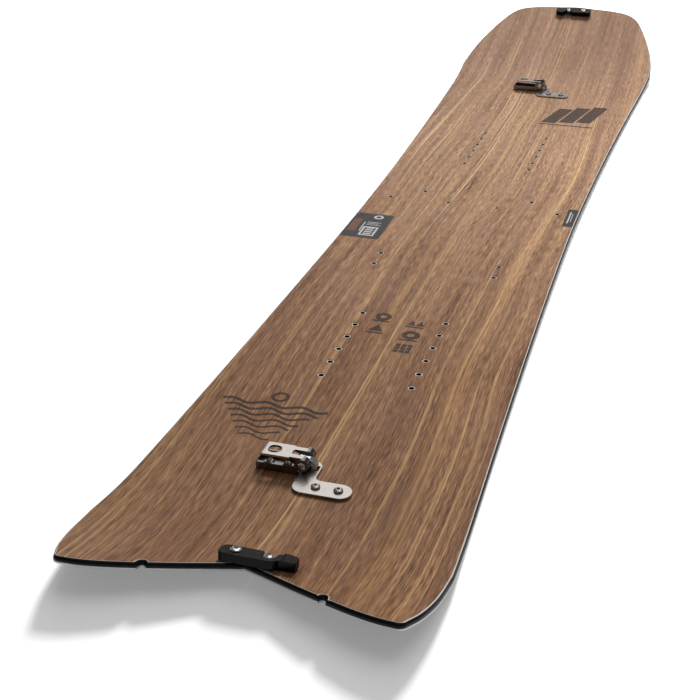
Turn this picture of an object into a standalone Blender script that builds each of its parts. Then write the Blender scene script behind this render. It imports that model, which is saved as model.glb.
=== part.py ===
"""Splitboard: a snowboard that parts along its centre line into two touring planks.

Frame: X across the board (right half +X), Y along it with the nose at +Y, Z up.
The origin is the centre of the bounding box at its lowest plane.  Metres.
"""
import math

import bmesh
import bpy
from mathutils import Matrix, Vector

MM = 0.001
GAP = 0.3 * MM

# ---- board plan -----------------------------------------------------------
LENGTH = 1.560
SEAM_HALF = 0.15 * MM
SEAM_CUT = 0.15 * MM
WAIST_HALF = 0.1215
NOSE_HALF = 0.1435
TAIL_HALF = 0.1360
WIDE_NOSE_Y = 0.575
WIDE_TAIL_Y = -0.700
SIDECUT_POWER = 1.6
TAIL_CORNER = (0.1166, -0.7736, 0.0064)
NOTCH_X = 0.0635
NOTCH_HALF = 0.0030
NOTCH_DEEP = 0.0050

# ---- board section --------------------------------------------------------
THICK_MID = 8.0 * MM
THICK_TIP = 5.9 * MM
CAMBER = 2.0 * MM
CONTACT_TAIL = (-0.615, -0.585)
CONTACT_NOSE = (0.455, 0.485)
TAIL_KICK_Y = -0.622
TAIL_KICK_RATE = 2.0
NOSE_ROCKER_Y = 0.485
NOSE_BREAK_Y = 0.640
NOSE_SLOPE_A = 0.240
NOSE_SLOPE_B = 0.305
SHEET_T = 0.9 * MM
BASE_T = 1.5 * MM
EDGE_W = 2.1 * MM
EDGE_T = 1.6 * MM
WALL_W = 4.0 * MM

# ---- inserts --------------------------------------------------------------
WALL_TAIL_Y = -0.632        # the running sidewalls end where the tip spacers start
WALL_NOSE_Y = 0.492
ROW_X = 0.0407
PITCH = 0.0254
REAR_FIRST_Y = -0.450
FRONT_FIRST_Y = 0.1215
ROW_COUNT = 6
TOUR_HOLES = ((0.0976, -0.018), (0.0631, 0.011), (0.0286, -0.018))
HEEL_HOLES = ((0.0631, -0.2080), (0.0631, -0.1805))
COLLAR_R = 3.3 * MM
BORE_R = 2.4 * MM
RAIL_HALF = 5.5 * MM
HOLE_SIDES = 8

# ---- clips and end hooks --------------------------------------------------
REAR_CLIP_Y = -0.596
FRONT_CLIP_Y = 0.472
TAIL_HOOK_Y = -0.7345
NOSE_HOOK_Y = 0.7555
TAIL_PIVOT_X = -0.0080
NOSE_PIVOT_X = 0.0145
HOOK_REACH = 0.0238
PIVOT = (-5.0 * MM, 9.0 * MM)
LINK = (-8.95 * MM, 9.63 * MM)
SCREW_X = (11.0 * MM, 29.0 * MM)
SCREW_Y = -25.0 * MM
BASE_SCREW_X = (-34.0 * MM, -20.0 * MM)

STATIONS = (-0.765, -0.747, -0.728, -0.708, -0.685, -0.660, -0.636, -0.615, -0.585,
            -0.470, -0.330, -0.065, 0.200, 0.340, 0.455, 0.485, 0.520, 0.555,
            0.590, 0.625, 0.668, 0.720)


def clear_scene():
    for ob in list(bpy.data.objects):
        bpy.data.objects.remove(ob, do_unlink=True)


def principled(name, colour, roughness, metallic):
    mat = bpy.data.materials.new(name)
    mat.use_nodes = True
    node = mat.node_tree.nodes["Principled BSDF"]
    node.inputs["Base Color"].default_value = (*colour, 1.0)
    node.inputs["Roughness"].default_value = roughness
    node.inputs["Metallic"].default_value = metallic
    return mat


# ---------------------------------------------------------------------------
# Board surface
# ---------------------------------------------------------------------------
def smooth_base(y):
    """Height of the base face over the floor: flat at both contact strips."""
    z = 0.0
    low, high = CONTACT_TAIL[1], CONTACT_NOSE[0]
    if low < y < high:
        z = CAMBER * math.sin(math.pi * (y - low) / (high - low)) ** 2
    if y < TAIL_KICK_Y:
        z = TAIL_KICK_RATE * (TAIL_KICK_Y - y) ** 2 / 2
    if y > NOSE_ROCKER_Y:
        rise = NOSE_BREAK_Y - NOSE_ROCKER_Y
        a = min(y, NOSE_BREAK_Y) - NOSE_ROCKER_Y
        z = NOSE_SLOPE_A * a * a / (2 * rise)
    if y > NOSE_BREAK_Y:
        b = y - NOSE_BREAK_Y
        ramp = (NOSE_SLOPE_B - NOSE_SLOPE_A) / (LENGTH / 2 - NOSE_BREAK_Y)
        z += NOSE_SLOPE_A * b + ramp * b * b / 2
    return z


def smooth_thickness(y):
    u = min(max((abs(y) - 0.30) / 0.42, 0.0), 1.0)
    return THICK_MID + (THICK_TIP - THICK_MID) * u


KNOTS = (-LENGTH / 2,) + STATIONS + (LENGTH / 2,)


def on_knots(fn, y):
    """Piecewise linear reading of fn, so each strip of the board stays planar."""
    y = min(max(y, KNOTS[0]), KNOTS[-1])
    for a, b in zip(KNOTS, KNOTS[1:]):
        if y <= b:
            u = (y - a) / (b - a)
            return fn(a) * (1 - u) + fn(b) * u
    return fn(KNOTS[-1])


def top_z(y):
    return on_knots(smooth_base, y) + on_knots(smooth_thickness, y)


def slope(y):
    return (top_z(y + 0.006) - top_z(y - 0.006)) / 0.012


def half_width(y):
    if y >= -0.06:
        u = (y + 0.06) / (WIDE_NOSE_Y + 0.06)
        return WAIST_HALF + (NOSE_HALF - WAIST_HALF) * u ** SIDECUT_POWER
    u = (-0.06 - y) / (-0.06 - WIDE_TAIL_Y)
    return WAIST_HALF + (TAIL_HALF - WAIST_HALF) * u ** SIDECUT_POWER


def catmull(points, steps):
    """Smooth curve through the points; the end points stay as they are."""
    out = []
    ext = [points[0]] + list(points) + [points[-1]]
    for i in range(1, len(ext) - 2):
        p0, p1, p2, p3 = (Vector(ext[i + k]) for k in (-1, 0, 1, 2))
        for s in range(steps):
            t = s / steps
            a = 2 * p1
            b = (p2 - p0) * t
            c = (2 * p0 - 5 * p1 + 4 * p2 - p3) * t * t
            d = (3 * p1 - p0 - 3 * p2 + p3) * t ** 3
            out.append((a + b + c + d) / 2)
    out.append(Vector(points[-1]))
    return out


def half_outline(mouth=NOTCH_HALF):
    """Outline of the right half, anticlockwise from the tail end of the seam.

    Inner layers take a wider notch mouth, so that their inset stays free of folds.
    """
    n, h, d = NOTCH_X, mouth, NOTCH_DEEP
    edge_y = -0.7658
    inner = catmull([(SEAM_HALF, -0.7375), (0.020, -0.7462), (0.040, -0.7553),
                     (n - h, -0.7653 + 0.43 * h)], 2)
    notch = [Vector((n - 0.7 * h, edge_y + 0.75 * d)), Vector((n, edge_y + d)),
             Vector((n + 0.7 * h, edge_y + 0.75 * d))]
    cx, cy, r = TAIL_CORNER
    corner = [Vector(p) for p in arc(cx, cy, r, -94, -20, 5)]
    outer = catmull([(n + h, -0.7656 - 0.40 * h), (0.085, -0.7738), (0.102, -0.7785),
                     tuple(corner[0])], 2)
    outer += corner[1:-1]
    outer += catmull([tuple(corner[-1]), (0.1290, -0.7590), (0.1337, -0.7340),
                      (TAIL_HALF, WIDE_TAIL_Y)], 2)
    side = []
    count = 13
    for i in range(1, count):
        y = WIDE_TAIL_Y + (WIDE_NOSE_Y - WIDE_TAIL_Y) * i / count
        side.append(Vector((half_width(y), y)))
    nose = catmull([(NOSE_HALF, WIDE_NOSE_Y), (0.1400, 0.6200), (0.1318, 0.6650),
                    (0.1175, 0.7140), (0.1035, 0.7475), (0.0860, 0.7660),
                    (0.0560, 0.7745), (SEAM_HALF, 0.7800)], 3)
    return inner + notch + outer + side + nose


def inset(loop, dist, seam=None):
    """Offset a closed anticlockwise loop inwards by dist, with mitred corners.

    The last edge of a half's outline runs along the seam, and may keep its own inset.
    """
    out = []
    count = len(loop)
    for i in range(count):
        a = (loop[i] - loop[i - 1]).normalized()
        b = (loop[(i + 1) % count] - loop[i]).normalized()
        na = Vector((-a.y, a.x))
        nb = Vector((-b.y, b.x))
        out.append(loop[i] + (na + nb) * (dist / (1 + na.dot(nb))))
        if seam is not None and i in (0, count - 1):
            da, db = (seam, dist) if i == 0 else (dist, seam)
            cross = na.x * nb.y - na.y * nb.x
            out[i] = loop[i] + Vector((da * nb.y - db * na.y, db * na.x - da * nb.x)) / cross
    return out


# ---------------------------------------------------------------------------
# Mesh helpers
# ---------------------------------------------------------------------------
def finish(bm, name, mat, sharp=40, location=None, rotation=None):
    bmesh.ops.recalc_face_normals(bm, faces=bm.faces)
    mesh = bpy.data.meshes.new(name)
    bm.to_mesh(mesh)
    bm.free()
    mesh.materials.append(mat)
    ob = bpy.data.objects.new(name, mesh)
    bpy.context.collection.objects.link(ob)
    mesh.shade_smooth()
    mesh.set_sharp_from_angle(angle=math.radians(sharp))
    if location is not None:
        ob.location = location
    if rotation is not None:
        ob.rotation_euler = rotation
    return ob


def add_prism(bm, loop, z0, z1, top_loop=None):
    """Closed prism on a plan loop; top_loop may be a matching, smaller loop."""
    low = [bm.verts.new((p[0], p[1], z0)) for p in loop]
    high = [bm.verts.new((p[0], p[1], z1)) for p in (top_loop or loop)]
    bm.faces.new(low[::-1])
    bm.faces.new(high)
    count = len(loop)
    for i in range(count):
        j = (i + 1) % count
        bm.faces.new((low[i], low[j], high[j], high[i]))


def add_ring(bm, loops):
    """Closed ring swept through loops given as (plan points, z) in section order."""
    rows = [[bm.verts.new((p[0], p[1], z)) for p in pts] for pts, z in loops]
    count = len(rows[0])
    for k in range(len(rows)):
        a, b = rows[k], rows[(k + 1) % len(rows)]
        for i in range(count):
            j = (i + 1) % count
            bm.faces.new((a[i], a[j], b[j], b[i]))


def circle(cx, cy, r, sides, start=0.0):
    return [Vector((cx + r * math.cos(start + 2 * math.pi * i / sides),
                    cy + r * math.sin(start + 2 * math.pi * i / sides))) for i in range(sides)]


def arc(cx, cy, r, a0, a1, steps):
    """Points of an arc from a0 to a1 degrees, ends included."""
    out = []
    for i in range(steps + 1):
        a = math.radians(a0 + (a1 - a0) * i / steps)
        out.append((cx + r * math.cos(a), cy + r * math.sin(a)))
    return out


def bend(bm):
    """Cut a flat board layer at every station, then lay it on the board's profile.

    Flat z runs from 0 at the top face to -THICK_MID at the base; what lies in the
    upper half keeps its depth under the top face, the rest its height over the base.
    """
    for y in STATIONS:
        geom = bm.verts[:] + bm.edges[:] + bm.faces[:]
        bmesh.ops.bisect_plane(bm, geom=geom, plane_co=(0, y, 0), plane_no=(0, 1, 0), dist=1e-6)
    for v in bm.verts:
        y, z = v.co.y, v.co.z
        if z > -THICK_MID / 2:
            v.co.z = top_z(y) + z
        else:
            v.co.z = top_z(y) - on_knots(smooth_thickness, y) + (z + THICK_MID)


def mirrored(bm, side):
    if side < 0:
        bmesh.ops.scale(bm, vec=(-1, 1, 1), verts=bm.verts)
    return bm


def cut(ob, cutter_bm, name):
    """Boolean difference with a hidden cutter."""
    bmesh.ops.recalc_face_normals(cutter_bm, faces=cutter_bm.faces)
    mesh = bpy.data.meshes.new(name)
    cutter_bm.to_mesh(mesh)
    cutter_bm.free()
    tool = bpy.data.objects.new(name, mesh)
    bpy.context.collection.objects.link(tool)
    tool.hide_render = True
    tool.display_type = "WIRE"
    mod = ob.modifiers.new(name, "BOOLEAN")
    mod.operation = "DIFFERENCE"
    mod.solver = "EXACT"
    mod.object = tool
    tool.matrix_world = ob.matrix_basis.copy()
    return ob


# ---------------------------------------------------------------------------
# Hole layout
# ---------------------------------------------------------------------------
def rail_groups():
    """Insert groups of one half: name and bore centres with x measured outwards."""
    rear = [(ROW_X, REAR_FIRST_Y + PITCH * i) for i in range(ROW_COUNT)]
    front = [(ROW_X, FRONT_FIRST_Y + PITCH * i) for i in range(ROW_COUNT)]
    return (("rear", rear), ("front", front), ("touring", list(TOUR_HOLES)),
            ("heel", list(HEEL_HOLES)))


def rail_loop(points, half):
    """Rounded outline round a group of bores: a straight bar, or a triangle."""
    if len(points) == 3:
        (x2, y2), (x1, y1), (x0, y0) = points
        out = arc(x0, y0, half, 180, 270, 3) + arc(x2, y2, half, 270, 360, 3)
        out += arc(x2, y2, half, 45, 45, 1)[:1]
        out += arc(x1, y1, half, 45, 135, 3)
        out += arc(x0, y0, half, 135, 135, 1)[:1]
        return [Vector(p) for p in out]
    x, y0 = points[0]
    y1 = points[-1][1]
    return [Vector(p) for p in arc(x, y0, half, 180, 360, 6) + arc(x, y1, half, 0, 180, 6)]


def fastener_holes(side):
    """Plan centres and radii of the screw holes of one half, x measured outwards."""
    holes = []
    for y in (REAR_CLIP_Y, FRONT_CLIP_Y):
        if side > 0:
            holes += [(x, y + SCREW_Y, 2.4 * MM) for x in SCREW_X]
        else:
            holes += [(-x, y, 2.1 * MM) for x in BASE_SCREW_X]
    tail_x = TAIL_PIVOT_X if side < 0 else TAIL_PIVOT_X + HOOK_REACH
    nose_x = NOSE_PIVOT_X if side > 0 else NOSE_PIVOT_X - HOOK_REACH
    holes.append((abs(tail_x), TAIL_HOOK_Y, 3.3 * MM))
    holes.append((abs(nose_x), NOSE_HOOK_Y, 3.3 * MM))
    return holes


# ---------------------------------------------------------------------------
# One half of the board
# ---------------------------------------------------------------------------
def build_half(side, tag, mats):
    loop = half_outline()
    wide = half_outline(2.5 * NOTCH_HALF)
    deep = -THICK_MID

    bm = bmesh.new()
    add_prism(bm, inset(loop, 0.9 * MM, SEAM_CUT), -SHEET_T, 0.0,
              inset(loop, 1.6 * MM, 2 * SEAM_CUT))
    bend(bm)
    sheet = finish(mirrored(bm, side), tag + "_topsheet", mats["veneer"], 30)
    tool = bmesh.new()
    for _, points in rail_groups():
        for x, y in points:
            add_prism(tool, circle(x, y, COLLAR_R + GAP, HOLE_SIDES, 0.1), -0.02, 0.10)
    for x, y, r in fastener_holes(side):
        add_prism(tool, circle(x, y, r, 8, 0.2), -0.02, 0.10)
    cut(sheet, mirrored(tool, side), tag + "_topsheet_cutter")

    core_top = -SHEET_T - GAP
    core_low = deep + BASE_T + GAP
    bm = bmesh.new()
    add_prism(bm, inset(wide, WALL_W + GAP), core_low, core_top)
    bend(bm)
    core = finish(mirrored(bm, side), tag + "_wood_core", mats["core"], 30)
    tool = bmesh.new()
    for _, points in rail_groups():
        add_prism(tool, rail_loop(points, RAIL_HALF + GAP), -0.02, 0.10)
    for x, y, r in fastener_holes(side):
        add_prism(tool, circle(x, y, r, 8, 0.2), -0.02, 0.10)
    cut(core, mirrored(tool, side), tag + "_core_cutter")

    bm = bmesh.new()
    add_prism(bm, inset(loop, EDGE_W + GAP), deep, deep + BASE_T)
    bend(bm)
    finish(mirrored(bm, side), tag + "_base_sheet", mats["base"], 30)

    low = deep + EDGE_T + GAP
    for label, outside in wall_cuts():
        bm = bmesh.new()
        add_ring(bm, ((inset(loop, 0.0), low), (inset(loop, 0.2 * MM, 0.0), -2.4 * MM),
                      (inset(loop, 1.3 * MM, SEAM_CUT), core_top),
                      (inset(wide, WALL_W), core_top), (inset(wide, WALL_W), low)))
        bend(bm)
        wall = finish(mirrored(bm, side), tag + "_" + label, mats["sidewall"], 30)
        tool = bmesh.new()
        add_prism(tool, outside, -0.02, 0.10)
        cut(wall, mirrored(tool, side), tag + "_" + label + "_trim")
        if not label.endswith("spacer"):
            continue
        tool = bmesh.new()
        for x, y, r in fastener_holes(side)[-2:]:
            if (y > 0) == label.startswith("nose"):
                add_prism(tool, circle(x, y, r, 8, 0.2), -0.02, 0.10)
        cut(wall, mirrored(tool, side), tag + "_" + label + "_cutter")

    # steel edge round the outer side and both ends, open along the seam
    outer = loop
    inner = inset(loop, EDGE_W)
    clear = SEAM_HALF + EDGE_W + GAP
    run_out = [Vector((clear, loop[0].y + (clear - SEAM_HALF) * -0.43))]
    run_out += [p for p in outer[1:-1]] + [Vector((clear, loop[-1].y))]
    run_in = [Vector((clear, inner[0].y + (clear - inner[0].x) * -0.43))]
    run_in += [p for p in inner[1:-1]] + [Vector((clear, inner[-1].y))]
    bm = bmesh.new()
    add_band(bm, run_out, run_in, deep, deep + EDGE_T)
    bend(bm)
    finish(mirrored(bm, side), tag + "_outer_steel_edge", mats["steel"], 30)

    a, b = SEAM_HALF, SEAM_HALF + EDGE_W
    bm = bmesh.new()
    strip = [Vector((a, loop[0].y)), Vector((b, loop[0].y - (b - a) * 0.43)),
             Vector((b, loop[-1].y)), Vector((a, loop[-1].y))]
    add_prism(bm, strip, deep, deep + EDGE_T)
    bend(bm)
    finish(mirrored(bm, side), tag + "_seam_steel_edge", mats["steel"], 30)

    for label, points in rail_groups():
        bm = bmesh.new()
        add_prism(bm, rail_loop(points, RAIL_HALF), core_low, core_top)
        bend(bm)
        rail = finish(mirrored(bm, side), tag + "_" + label + "_insert_rail", mats["insert"], 30)
        join_collars(rail, points, side, tag + "_" + label)


def wall_cuts():
    """The four walls of a half, each with the plan loop of what to take off the ring."""
    a, b, g = WALL_TAIL_Y, WALL_NOSE_Y, GAP / 2
    far, mid, near, end = 0.30, 0.06, -0.03, 0.90
    runs = (
        ("tail_spacer", [(near, a - g), (far, a - g), (far, end), (near, end)]),
        ("nose_spacer", [(near, -end), (far, -end), (far, b + g), (near, b + g)]),
        ("outer_sidewall", [(near, -end), (far, -end), (far, a + g), (mid, a + g),
                            (mid, b - g), (far, b - g), (far, end), (near, end)]),
        ("seam_sidewall", [(near, -end), (far, -end), (far, end), (near, end),
                           (near, b - g), (mid, b - g), (mid, a + g), (near, a + g)]),
    )
    return [(label, [Vector(p) for p in loop]) for label, loop in runs]


def add_band(bm, outer, inner, z0, z1):
    """Closed strip between two open runs of plan points."""
    rows = []
    for pts, z in ((outer, z0), (outer, z1), (inner, z1), (inner, z0)):
        rows.append([bm.verts.new((p.x, p.y, z)) for p in pts])
    for k in range(4):
        a, b = rows[k], rows[(k + 1) % 4]
        for i in range(len(a) - 1):
            bm.faces.new((a[i], a[i + 1], b[i + 1], b[i]))
    bm.faces.new([row[0] for row in rows])
    bm.faces.new([row[-1] for row in reversed(rows)])


def join_collars(rail, points, side, label):
    """Threaded collars that rise from the rail into the top sheet's holes."""
    union = bmesh.new()
    bores = bmesh.new()
    for x, y in points:
        z = top_z(y)
        add_prism(union, circle(x, y, COLLAR_R, HOLE_SIDES, 0.1), z - 3.0 * MM, z - 0.25 * MM)
        add_prism(bores, circle(x, y, BORE_R, HOLE_SIDES, 0.1), z - 4.9 * MM, z + 2.0 * MM)
    bmesh.ops.recalc_face_normals(mirrored(union, side), faces=union.faces)
    mesh = bpy.data.meshes.new(label + "_collars")
    union.to_mesh(mesh)
    union.free()
    tool = bpy.data.objects.new(label + "_collars", mesh)
    bpy.context.collection.objects.link(tool)
    tool.hide_render = True
    tool.display_type = "WIRE"
    mod = rail.modifiers.new("collars", "BOOLEAN")
    mod.operation = "UNION"
    mod.solver = "EXACT"
    mod.object = tool
    cut(rail, mirrored(bores, side), label + "_bores")


# ---------------------------------------------------------------------------
# Fasteners
# ---------------------------------------------------------------------------
def add_turned(bm, profile, sides, axis="Z", offset=(0, 0, 0)):
    """Solid of revolution about an axis through offset; profile is (radius, height)."""
    rows = []
    for r, h in profile:
        ring = []
        for i in range(sides):
            a = 2 * math.pi * i / sides
            p = (r * math.cos(a), r * math.sin(a), h)
            if axis == "Y":
                p = (p[0], h, p[1])
            ring.append(bm.verts.new(Vector(p) + Vector(offset)))
        rows.append(ring)
    for lower, upper in zip(rows, rows[1:]):
        for i in range(sides):
            j = (i + 1) % sides
            bm.faces.new((lower[i], lower[j], upper[j], upper[i]))
    bm.faces.new(rows[0][::-1])
    bm.faces.new(rows[-1])


def screw(name, mat, head_r, head_h, shank_r, shank_l, socket, place):
    """Button-head screw: shank downwards, domed head above z = 0, hexagon socket."""
    bm = bmesh.new()
    profile = [(shank_r, -shank_l), (shank_r, 0.0), (head_r, 0.0), (head_r, 0.3 * head_h),
               (head_r * 0.84, 0.75 * head_h), (head_r * 0.52, head_h)]
    add_turned(bm, profile, 12)
    top = max(bm.faces, key=lambda f: f.calc_center_median().z)
    hexa = [Vector((socket * math.cos(math.pi * i / 6), socket * math.sin(math.pi * i / 6)))
            for i in range(12)]
    rim = list(top.verts)
    bm.faces.remove(top)
    floor_z = 0.35 * head_h
    lip = [bm.verts.new((p.x, p.y, head_h)) for p in hexa]
    sole = [bm.verts.new((p.x, p.y, floor_z)) for p in hexa]
    for i in range(12):
        j = (i + 1) % 12
        bm.faces.new((rim[i], rim[j], lip[j], lip[i]))
        bm.faces.new((lip[i], lip[j], sole[j], sole[i]))
    bm.faces.new(sole)
    location, rotation = place
    return finish(bm, name, mat, 40, location, rotation)


# ---------------------------------------------------------------------------
# Seam clip
# ---------------------------------------------------------------------------
def side_extrusion(bm, loop, y0, y1):
    """Prism of an (x, z) outline between two y planes."""
    near = [bm.verts.new((p[0], y0, p[1])) for p in loop]
    far = [bm.verts.new((p[0], y1, p[1])) for p in loop]
    bm.faces.new(near)
    bm.faces.new(far[::-1])
    for i in range(len(loop)):
        j = (i + 1) % len(loop)
        bm.faces.new((near[j], near[i], far[i], far[j]))


def mm(points, dx=0.0, dz=0.0):
    return [(p[0] * MM - dx, p[1] * MM - dz) for p in points]


def build_clip(tag, y, mats):
    ground = Vector((0, y, top_z(y)))
    px, pz = PIVOT
    lx, lz = LINK
    pivot = ground + Vector((px, 0, pz))
    link = ground + Vector((lx, 0, lz))

    # base: a tray with two ears round the lever's pivot
    ear = arc(-5.0, 9.0, 5.2, -125, 150, 10)
    outline = [(-43.5, 1.6), (-43.0, 0.4), (-8.4, 0.4), (-8.4, 3.4)] + ear
    outline += [(-10.8, 8.6), (-13.0, 6.6), (-41.5, 6.6), (-43.5, 5.0)]
    bm = bmesh.new()
    side_extrusion(bm, mm(outline), -9.8 * MM, 9.8 * MM)
    base = finish(bm, tag + "_clip_base", mats["stainless"], 35, ground)
    tool = bmesh.new()
    add_box(tool, (-41.9, 12, -8.0, 8.0, 1.9, 20))
    cut(base, tool, tag + "_base_tray_cutter")
    tool = bmesh.new()
    add_turned(tool, ((1.9 * MM, -0.02), (1.9 * MM, 0.02)), 10, "Y", (px, 0, pz))
    for x in BASE_SCREW_X:
        add_prism(tool, circle(x, 0, 2.0 * MM, 10), -0.002, 0.0045)
    cut(base, tool, tag + "_base_hole_cutter")

    # lever: plate with a finger hole, forked at the pivot end
    cheek = arc(-5.0, 9.0, 5.2, -120, 90, 9)
    outline = cheek + [(-38.0, 14.2), (-39.6, 13.6), (-40.2, 12.2), (-38.6, 12.4), (-14.6, 12.4)]
    outline += arc(-8.95, 9.63, 3.3, 140, 245, 4)
    bm = bmesh.new()
    side_extrusion(bm, mm(outline, px, pz), -8.8 * MM, 8.8 * MM)
    lever = finish(bm, tag + "_clip_lever", mats["stainless"], 35, pivot)
    tool = bmesh.new()
    slot = [(-9.6, -3.3), (20, -3.3), (20, 3.3), (-9.6, 3.3), (-10.6, 2.0), (-10.6, -2.0)]
    add_prism(tool, [Vector((a * MM, b * MM)) for a, b in slot], -0.02, 0.02)
    for s in (-1, 1):
        add_box(tool, (-10.6, 20, min(s * 7.7, s * 12), max(s * 7.7, s * 12), -20, 20))
    hole = [(-28.6, -5.3)] + arc(-24.6, 0, 5.3, -90, 90, 8)
    hole += [(-28.6, 5.3), (-30.0, 3.9), (-30.0, -3.9)]
    add_prism(tool, [Vector((a * MM, b * MM)) for a, b in hole], 0.0005, 0.02)
    cut(lever, tool, tag + "_lever_fork_cutter")
    tool = bmesh.new()
    add_turned(tool, ((1.9 * MM, -0.02), (1.9 * MM, 0.02)), 10, "Y")
    add_turned(tool, ((1.3 * MM, -0.02), (1.3 * MM, 0.02)), 10, "Y", (lx - px, 0, lz - pz))
    cut(lever, tool, tag + "_lever_bore_cutter")

    # draw hook on the link pin, its claw in the catch plate's slot
    hook = arc(-8.95, 9.63, 2.7, 75, 262, 6)
    hook += [(-6.6, 7.7), (-0.4, 5.9), (1.9, 4.4), (1.9, 1.2), (2.3, 0.9), (3.9, 0.9), (4.3, 1.2)]
    hook += [(4.4, 5.8), (3.4, 8.2), (-0.6, 10.9), (-4.5, 12.0)]
    bm = bmesh.new()
    side_extrusion(bm, mm(hook, lx, lz), -2.9 * MM, 2.9 * MM)
    draw = finish(bm, tag + "_clip_draw_hook", mats["stainless"], 35, link)
    tool = bmesh.new()
    add_turned(tool, ((1.35 * MM, -0.02), (1.35 * MM, 0.02)), 10, "Y")
    cut(draw, tool, tag + "_draw_cutter")

    bm = bmesh.new()
    add_turned(bm, ((1.0 * MM, -7.4 * MM), (1.0 * MM, 7.4 * MM)), 10, "Y")
    finish(bm, tag + "_clip_link_pin", mats["pin"], 40, link)
    for s, label in ((-1, "tail_side"), (1, "nose_side")):
        bm = bmesh.new()
        profile = [(1.6 * MM, 4.0 * MM), (1.6 * MM, 10.1 * MM), (2.9 * MM, 10.1 * MM),
                   (2.9 * MM, 10.6 * MM), (1.9 * MM, 11.2 * MM)]
        profile = [(r, s * h) for r, h in profile]
        add_turned(bm, profile, 12, "Y")
        finish(bm, tag + "_clip_rivet_" + label, mats["pin"], 40, pivot)
    for i, x in enumerate(BASE_SCREW_X):
        place = (ground + Vector((x, 0, 2.2 * MM)), None)
        screw(tag + "_clip_base_screw_" + str(i + 1), mats["pin"], 3.2 * MM, 1.7 * MM,
              1.6 * MM, 6.4 * MM, 1.2 * MM, place)

    # catch plate: a long leg on the right half and a lobe that crosses the seam
    leg = arc(30.0, -25.0, 9.5, -90, 90, 8)
    lobe = arc(0.0, 2.5, 7.2, 0, 180, 8)
    heel = arc(2.3, -25.0, 9.5, 180, 270, 5)
    plan = leg + [(9.0, -15.5), (7.6, -14.9), (7.2, -13.6)] + lobe + heel
    bm = bmesh.new()
    add_prism(bm, [Vector((a * MM, b * MM)) for a, b in plan], 0.4 * MM, 2.4 * MM)
    catch = finish(bm, tag + "_clip_catch_plate", mats["stainless"], 35, ground)
    tool = bmesh.new()
    window = [(1.3, -3.6), (5.2, -3.6), (5.8, -3.0), (5.8, 3.0), (5.2, 3.6), (1.3, 3.6)]
    add_prism(tool, [Vector((a * MM, b * MM)) for a, b in window], -0.01, 0.01)
    for x in SCREW_X:
        add_prism(tool, circle(x, SCREW_Y, 2.4 * MM, 10), -0.01, 0.01)
    cut(catch, tool, tag + "_catch_cutter")
    for i, x in enumerate(SCREW_X):
        place = (ground + Vector((x, SCREW_Y, 2.7 * MM)), None)
        screw(tag + "_clip_catch_screw_" + str(i + 1), mats["screw"], 3.7 * MM, 2.2 * MM,
              2.0 * MM, 7.4 * MM, 1.5 * MM, place)


def add_box(bm, size):
    """Axis-aligned box from (x0, x1, y0, y1, z0, z1) in millimetres."""
    x0, x1, y0, y1, z0, z1 = (v * MM for v in size)
    loop = [Vector((x0, y0)), Vector((x1, y0)), Vector((x1, y1)), Vector((x0, y1))]
    add_prism(bm, loop, z0, z1)


# ---------------------------------------------------------------------------
# End hooks
# ---------------------------------------------------------------------------
def build_end_hook(tag, y, pivot_x, turned, mats):
    """Swivelling hook; turned is 0 at the tail and pi at the nose."""
    tilt = math.atan(slope(y))
    frame = Matrix.Translation((pivot_x, y, top_z(y))) @ Matrix.Rotation(tilt, 4, "X")
    frame = frame @ Matrix.Rotation(turned, 4, "Z")
    rotation = frame.to_euler()

    def at(x, z):
        return frame @ Vector((x, 0, z))

    low, high = 1.3 * MM, 7.5 * MM
    plan = arc(-6.6, 1.6, 4.8, 90, 170, 4) + arc(-6.9, -2.8, 4.6, 190, 265, 4)
    plan += [(8.0, -8.1), (27.0, -7.7), (30.0, -6.0), (32.0, -4.2), (42.6, -4.4), (43.8, -3.0)]
    plan += [(43.8, 4.6), (42.0, 6.2), (36.0, 8.4), (32.6, 8.4), (31.6, 5.8), (28.7, 5.0)]
    plan += arc(23.8, 0.6, 4.7, 0, -180, 8) + [(19.1, 4.4), (17.6, 6.2), (15.0, 6.6)]
    bm = bmesh.new()
    loop = [Vector((a * MM, b * MM)) for a, b in plan]
    add_ring_solid(bm, ((loop, low), (loop, high - 0.6 * MM), (inset(loop, 0.6 * MM), high)))
    hook = finish(bm, tag + "_hook", mats["black"], 35, frame.translation, rotation)
    tool = bmesh.new()
    add_prism(tool, circle(0, 0, 2.6 * MM, 12), -0.01, 0.02)
    cut(hook, tool, tag + "_hook_cutter")

    place = (at(0, high + GAP), rotation)
    screw(tag + "_hook_pivot_screw", mats["screw"], 4.0 * MM, 1.6 * MM, 2.1 * MM,
          high + GAP + 3.6 * MM, 1.5 * MM, place)
    reach = HOOK_REACH
    place = (at(reach, high - 1.2 * MM), rotation)
    screw(tag + "_hook_stud", mats["screw"], 4.0 * MM, 2.8 * MM, 2.1 * MM,
          high - 1.2 * MM + 3.6 * MM, 1.5 * MM, place)
    for label, x, z1 in (("pivot_washer", 0.0, low - GAP), ("stud_collar", reach, high - 1.5 * MM)):
        radius = 6.0 * MM if x == 0.0 else 3.7 * MM
        bm = bmesh.new()
        add_ring(bm, ((circle(0, 0, radius, 14), 0.4 * MM), (circle(0, 0, radius, 14), z1),
                      (circle(0, 0, 2.5 * MM, 14), z1), (circle(0, 0, 2.5 * MM, 14), 0.4 * MM)))
        finish(bm, tag + "_hook_" + label, mats["washer"], 35, at(x, 0), rotation)


def add_ring_solid(bm, rows):
    """Closed stack of matching loops with flat ends."""
    rings = [[bm.verts.new((p.x, p.y, z)) for p in loop] for loop, z in rows]
    for a, b in zip(rings, rings[1:]):
        for i in range(len(a)):
            j = (i + 1) % len(a)
            bm.faces.new((a[i], a[j], b[j], b[i]))
    bm.faces.new(rings[0][::-1])
    bm.faces.new(rings[-1])


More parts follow.
